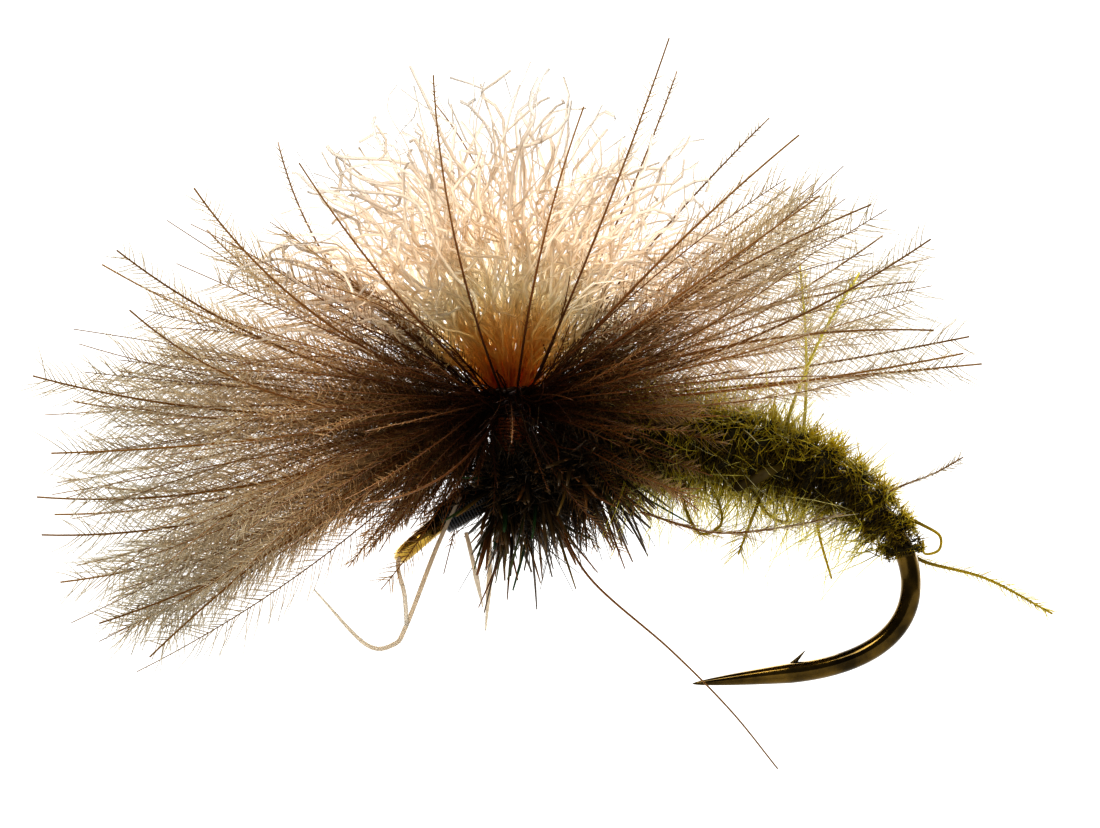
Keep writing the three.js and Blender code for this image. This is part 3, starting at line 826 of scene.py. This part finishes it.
def make_hackle_loop(material):
    """The twisted loop that holds the hackle, wound round the foot of the post."""
    turns, count = 3, 200
    plies, twists, ply_radius, strand_radius = 3, 14, 0.055, 0.058
    rise_per_turn = 0.24
    share = np.linspace(0, 1, count)
    angle = 2 * np.pi * turns * share
    parts = []
    for ply in range(plies):
        spin = 2 * np.pi * (twists * share + ply / plies)
        radius = HACKLE_LOOP_RADIUS + ply_radius * np.cos(spin)
        height = HUB[2] + (share - 0.5) * turns * rise_per_turn + ply_radius * np.sin(spin)
        path = np.stack([POST_X + radius * np.cos(angle), radius * np.sin(angle), height], axis=1)
        parts.append(tubes(path[None], strand_radius, sides=6))
    make_piece("hackle_loop", parts, material, 320, ["hackle_core"])


# ---- Body ----

def body_offset(share):
    """How far the body's rope stands off the wire, and half its thickness."""
    outer = ROPE_OUTER_FRONT - ROPE_THINNING * share ** 2.2
    return (outer + ROPE_INNER) / 2, (outer - ROPE_INNER) / 2


def hairs(root, way, size, radii, dice, curl, steps=4):
    """Single hairs from their roots, each bent a chance amount."""
    t = np.linspace(0, 1, steps)[None, :, None]
    bend = unit(dice.normal(0, 1, root.shape))[:, None] * curl
    paths = root[:, None] + size[:, None, None] * (way[:, None] * t + bend * t ** 2)
    taper = np.interp(np.linspace(0, 1, steps), [0, 0.4, 1], [1, 0.9, 0.3])
    return tubes(paths, radii[:, None] * taper, sides=3)


def make_abdomen_rope(material, dice):
    """The dark core of the herl: a rope of three plies, wound round the wire."""
    count, plies, twists, ply_share = 520, 3, 26, 0.45
    share = np.linspace(0, 1, count)
    offset, half = body_offset(share)
    ropes = []
    for ply in range(plies):
        spin = 2 * np.pi * (twists * share + ply / plies)
        lumps = 1 + dice.normal(0, 0.06, count)
        reach = offset + ply_share * half * np.cos(spin)
        distance = within(ABDOMEN_SPAN, share) + ply_share * half * np.sin(spin)
        path, _, _ = round_wire(distance, 2 * np.pi * ABDOMEN_TURNS * share, reach)
        ropes.append(tubes(path[None], half * 0.62 * lumps, sides=8))
    make_piece("abdomen_rope", ropes, material, 50, ["abdomen_herl"])


def abdomen_roots(number, dice, wander, depth):
    """Chance roots of hairs on the body's rope, the ways out, along and round it, and its girth there."""
    spot = dice.random(number)
    offset, half = body_offset(spot)
    angle = 2 * np.pi * ABDOMEN_TURNS * spot + dice.normal(0, wander, number)
    centre, outward, tangent = round_wire(within(ABDOMEN_SPAN, spot), angle, offset + half * depth)
    round_way = unit(np.cross(tangent, outward))
    _, front_half = body_offset(0)
    return spot, centre, outward, tangent, round_way, half / front_half


def abdomen_tone(spot, outward, lump_tones, dice, lift):
    """Strand values for hairs, with painted light and shade: dark at the fly's sides and its front, palest
    along its back.
    """
    # Painted light and shade: hairs that face up or down are lighter, those that face the sides darker.
    painted_facing_light = 0.04 + 0.68 * np.abs(outward[:, 2]) ** 1.4 + 0.14 * outward[:, 2]
    lumps = np.interp(spot, np.linspace(0, 1, len(lump_tones)), lump_tones)
    # Painted shade: the hairs are darker towards the front of the body.
    lumps += np.interp(spot, [0, 0.2, 0.4], [-0.22, -0.1, 0])
    return (painted_facing_light + lift + lumps + dice.normal(0, 0.14, len(outward))).clip(0, 1)


def lying_hairs(lump_tones, dice):
    """Hairs that lie along the coils of the rope."""
    spot, centre, outward, tangent, round_way, girth = abdomen_roots(4400, dice, wander=1.2, depth=0.45)
    along_coil = unit(round_way + 0.22 * dice.normal(0, 1, centre.shape)
                      + (0.3 * dice.normal(0, 1, len(centre)))[:, None] * tangent + 0.12 * outward)
    size = dice.uniform(0.4, 1.1, len(centre)) * girth
    part = hairs(centre, along_coil, size, dice.uniform(0.009, 0.02, len(centre)), dice, curl=0.35)
    part["tone"] = abdomen_tone(spot, outward, lump_tones, dice, lift=-0.04)
    return part


def standing_hairs(lump_tones, dice):
    """Hairs that stand off the body, longest along its back."""
    spot, centre, outward, _, round_way, girth = abdomen_roots(5600, dice, wander=1.6, depth=0.1)
    way = unit(outward + 0.55 * dice.normal(0, 1, centre.shape) + 0.3 * round_way)
    size = dice.gamma(4, 0.11, len(centre)).clip(0.2, 1.1) * girth
    size = size * (1 + 0.5 * np.clip(outward[:, 2], 0, 1))
    part = hairs(centre, way, size, dice.uniform(0.008, 0.017, len(centre)), dice, curl=0.4)
    part["tone"] = abdomen_tone(spot, outward, lump_tones, dice, lift=0.1)
    return part


def blunt_stems(lump_tones, dice):
    """A few thick herl barbs that lean back."""
    spot, centre, outward, tangent, _, girth = abdomen_roots(70, dice, wander=2, depth=0.2)
    way = unit(outward + 0.5 * dice.normal(0, 1, centre.shape) + 0.5 * tangent)
    size = dice.uniform(0.5, 1.3, len(centre)) * girth
    part = hairs(centre, way, size, dice.uniform(0.022, 0.038, len(centre)), dice, curl=0.25, steps=5)
    part["tone"] = abdomen_tone(spot, outward, lump_tones, dice, lift=0.2)
    return part


def torn_barb():
    """One flat torn barb that lies along the near side of the body."""
    steps, half_width = 20, 0.16
    points = [(7.05, -0.74, 1.18), (7.5, -0.86, 1.36), (8.0, -0.86, 1.62), (8.65, -0.6, 1.8)]
    path = smooth_path(points, steps)
    share = np.linspace(0, 1, steps)
    width = half_width * np.interp(share, [0, 0.08, 0.22, 0.42, 0.6, 1], [0.3, 0.9, 0.65, 1, 0.7, 0.1])
    part = tubes(path[None], width, sides=8, flatten=0.12, twist=1.2)
    part["tone"] = np.array([0.09])
    return part


def pale_fringe(dice):
    """A pale fringe that hangs below the front of the body."""
    count, start_offset = 1300, 0.6
    spot = dice.beta(1, 2, count)
    below = np.pi + dice.normal(0, 0.5, count)
    centre, outward, _ = round_wire(within(ABDOMEN_SPAN, spot), below, np.full(count, start_offset))
    way = unit(outward + 0.45 * dice.normal(0, 1, centre.shape))
    size = dice.gamma(5, 0.18, count).clip(0.3, 1.9)
    part = hairs(centre, way, size, dice.uniform(0.008, 0.016, count), dice, curl=0.5)
    part["tone"] = dice.uniform(0.75, 1, count)
    return part


def make_abdomen(core, fuzz):
    """The herl: its dark rope, and the olive hairs that hide it."""
    dice = np.random.default_rng(41)
    make_abdomen_rope(core, dice)
    lump_tones = dice.normal(0, 0.16, 70)
    parts = [lying_hairs(lump_tones, dice), standing_hairs(lump_tones, dice),
             blunt_stems(lump_tones, dice), torn_barb(), pale_fringe(dice)]
    make_piece("abdomen_fuzz", parts, fuzz, 51)


def spike_bunch(dice):
    """A loose bunch of stiff spikes that bristle from the thorax, mostly down and out."""
    count = dice.integers(3, 8)
    spot = (dice.random() + dice.normal(0, 0.05, count)).clip(0, 1)
    bunch_angle = math.pi + math.radians(dice.normal(0, 60))
    angle = bunch_angle + np.radians(dice.normal(0, 14, count))
    root, outward, tangent = round_wire(within(THORAX_SPAN, spot), angle, np.full(count, 0.3))
    lean = ((spot - 0.5) * 1.5 + dice.normal(0, 0.3))[:, None]
    droop = np.array([0, 0, -0.3])
    way = unit(outward + tangent * lean + droop + 0.26 * dice.normal(0, 1, root.shape))
    size = dice.uniform(1.1, 3.0) * dice.uniform(0.7, 1.05, count)
    t = np.linspace(0, 1, 6)[None, :, None]
    curl = unit(dice.normal(0, 1, (count, 3)))[:, None] * 0.14
    paths = root[:, None] + size[:, None, None] * (way[:, None] * t + curl * t ** 2)
    radii = dice.uniform(0.042, 0.072, count)[:, None] * np.array([0.8, 1, 1, 0.95, 0.85, 0.45])
    return tubes(paths, radii, sides=5, flatten=0.6)


def under_fur(dice):
    """Close fur over the wire, the foot of the post and the thread there, longest below."""
    count = 3400
    spot = dice.random(count)
    angle = dice.uniform(0, 2 * np.pi, count)
    root, outward, _ = round_wire(within(THORAX_SPAN, spot), angle, np.full(count, 0.35))
    way = unit(outward + 0.7 * dice.normal(0, 1, root.shape))
    size = dice.uniform(0.4, 1.0, count) * (1 + 0.9 * np.clip(-outward[:, 2], 0, 1))
    part = hairs(root, way, size, dice.uniform(0.014, 0.028, count), dice, curl=0.5)
    part["tone"] = dice.uniform(0, 0.5, count)
    return part


def thorax_rope():
    """The dark core of the fur."""
    steps, turns = 90, 6
    share = np.linspace(0, 1, steps)
    path, _, _ = round_wire(within(THORAX_SPAN, share), 2 * np.pi * turns * share, np.full(steps, 0.42))
    part = tubes(path[None], 0.2, sides=8)
    part["tone"] = np.array([0.1])
    return part


def make_thorax(material):
    """Dark fur round the wire behind the head, with spikes in loose bunches."""
    dice = np.random.default_rng(61)
    parts = [spike_bunch(dice) for _ in range(48)]
    parts += [under_fur(dice), thorax_rope()]
    make_piece("thorax_spikes", parts, material, 62, ["thorax_dubbing"])


# ---- Loose fibres and strips ----

def yarn_strip(path, number):
    """A thin strip, widest past its middle and fine at its end."""
    share = np.linspace(0, 1, len(path))
    width = np.interp(share, [0, 0.45, 0.6, 1], [0.045, 0.055, 0.065, 0.018])
    twist = math.pi / 2 + 0.5 * np.sin(5 * share + number)
    return tubes(path[None], width, sides=8, flatten=0.3, twist=twist)


def second_strip():
    """The strip that runs from the eye down to the corner of loose_yarn_1."""
    steps = 24
    points = [(-0.2, -0.36, -0.12), (-0.45, -0.42, -0.5), (-0.3, -0.7, -1.2), (-0.25, -0.72, -1.9)]
    path = smooth_path(points, steps)
    twist = np.linspace(1.2, 2.1, steps)
    return tubes(path[None], 0.05, sides=6, flatten=0.14, twist=twist)


def loose_fibre(node, path, dice):
    """A single barb: brown and thin, or olive and thicker, and bare or with barbules."""
    brown = node.endswith("stray_fibre")
    pale = node in ("abdomen_fibre_1", "abdomen_fibre_2")
    bare = node in ("herl_tag", "abdomen_fibre_6", "long_stray_fibre")
    short = pale or node in ("rear_stray_fibre", "tail_fibre")
    thick = 0.03 if brown else 0.045
    stem = tubes(path[None], thick * (1 - 0.45 * np.linspace(0, 1, len(path))), sides=6)
    stem["tone"] = np.array([0.85 if brown or pale else 0.42])
    if bare:
        return [stem]
    last = length_along(path)[-1] * 0.95
    length = 0.3 if short else 0.6
    side = barbules(path, dice, length, spacing=0.06, first=0.15, last=last, radius=0.008)
    if not brown:
        side["tone"] = 0.35 + side["tone"]
    return [stem, side]


def make_loose(hackle, olive, film):
    """One piece for each fibre and strip that stands clear of the dressing."""
    for number, (node, points) in enumerate(LOOSE_FIBRES.items()):
        dice = np.random.default_rng(400 + number)
        path = smooth_path([(x, y, z) for x, z, y in points], 12 * len(points))
        if node.startswith("loose_yarn"):
            material, slot = film, "pale_strand"
            parts = [yarn_strip(path, number)]
            if node == "loose_yarn_1":
                parts.append(second_strip())
        else:
            brown = node.endswith("stray_fibre")
            material, slot = (hackle, "brown_hackle") if brown else (olive, "olive_herl")
            parts = loose_fibre(node, path, dice)
        make_piece(node + "_visual", parts, material, 400 + number, [node])


# ---- Looks of the fur, herl and strips ----

def olive_material():
    """Herl hair, from black-olive (low strand values) to pale yellow-olive."""
    return fibre_material(
        "olive_herl",
        # Painted shade: the hairs are darker at their roots, deep in the fuzz.
        [(0.0, (0.4, 0.35, 0.25)), (0.4, (1, 1, 1)), (1.0, (1, 1, 1))],
        [(0.0, (0.08, 0.05, 0.001)), (0.25, (0.32, 0.22, 0.006)), (0.55, (0.8, 0.65, 0.04)),
         (0.82, (0.97, 0.89, 0.18)), (1.0, (0.86, 0.81, 0.52))],
        roughness=0.45,
        glow=0.5,
    )


def rope_material():
    """The herl's dark core."""
    return fibre_material(
        "olive_core",
        [(0.0, (1, 1, 1)), (1.0, (0.9, 0.9, 0.9))],
        [(0.0, (0.02, 0.014, 0.001)), (1.0, (0.04, 0.03, 0.002))],
        roughness=0.8,
    )


def thorax_material():
    """Black-brown fur. The highest strand values are rust and green."""
    return fibre_material(
        "dark_dubbing",
        [(0.0, (0.1, 0.1, 0.1)), (0.45, (0.4, 0.4, 0.4)), (1.0, (1, 1, 1))],
        [(0.0, (0.05, 0.03, 0.01)), (0.45, (0.12, 0.07, 0.02)), (0.7, (0.34, 0.14, 0.035)),
         (0.88, (0.3, 0.19, 0.04)), (0.94, (0.06, 0.14, 0.035)), (1.0, (0.04, 0.1, 0.03))],
        roughness=0.3,
        glow=[(0.5, (0.0, 0.0, 0.0)), (0.6, (0.35, 0.35, 0.35))],
    )


def film_material():
    """Thin pale brown film."""
    return fibre_material(
        "pale_film",
        [(0.0, (0.9, 0.8, 0.7)), (1.0, (1, 1, 1))],
        [(0.0, (0.85, 0.8, 0.7)), (1.0, (0.92, 0.88, 0.8))],
        roughness=0.3,
        glow=0.55,
    )


# ---- The scene ----

make_camera()
make_world()
make_softbox("key", (-90, -160, 190), size=80, radiance=10)
make_softbox("overhead", (20, 90, 170), size=130, radiance=4.5)
make_floor()
bpy.context.scene.view_settings.view_transform = "Standard"
bpy.context.scene.view_settings.look = "High Contrast"

hackle_look = hackle_material()
olive_look = olive_material()
make_hook()
make_head_thread()
make_underbody_thread()
make_post_thread()
make_wing()
make_hackle(hackle_look)
make_sprays(hackle_look)
make_short_hackle(hackle_look)
make_hackle_loop(hackle_look)
make_abdomen(rope_material(), olive_look)
make_thorax(thorax_material())
make_loose(hackle_look, olive_look, film_material())
